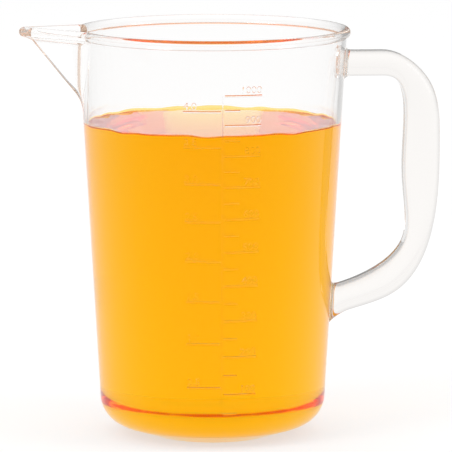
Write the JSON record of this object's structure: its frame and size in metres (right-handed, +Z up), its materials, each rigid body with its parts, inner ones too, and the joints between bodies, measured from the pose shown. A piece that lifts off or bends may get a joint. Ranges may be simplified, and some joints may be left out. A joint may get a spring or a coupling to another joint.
{
  "type": "measuring jug of liquid detergent",
  "caption": "Clear plastic one litre measuring jug with a beaded rim, long pointed spout, strap handle and raised scales, filled most of the way with orange liquid detergent.",
  "frame": {"origin": "on the vessel's axis, in the plane of the foot ring that it stands on", "axes": "+Z up along the vessel's axis, -X towards the spout's tip, +X towards the handle, -Y towards the scales"},
  "size_m": [0.1726, 0.1132, 0.1685],
  "materials": {
    "clear_body": "clear, polished",
    "clear_handle": "clear, polished",
    "orange_detergent": "clear liquid",
    "clear_marks": "clear, polished"
  },
  "bodies": {
    "root": {"vessel": "clear_body", "handle": "clear_handle", "detergent": "orange_detergent", "millilitre_marks": "clear_marks", "cup_marks": "clear_marks", "scale_line": "clear_marks"}
  },
  "joints": []
}
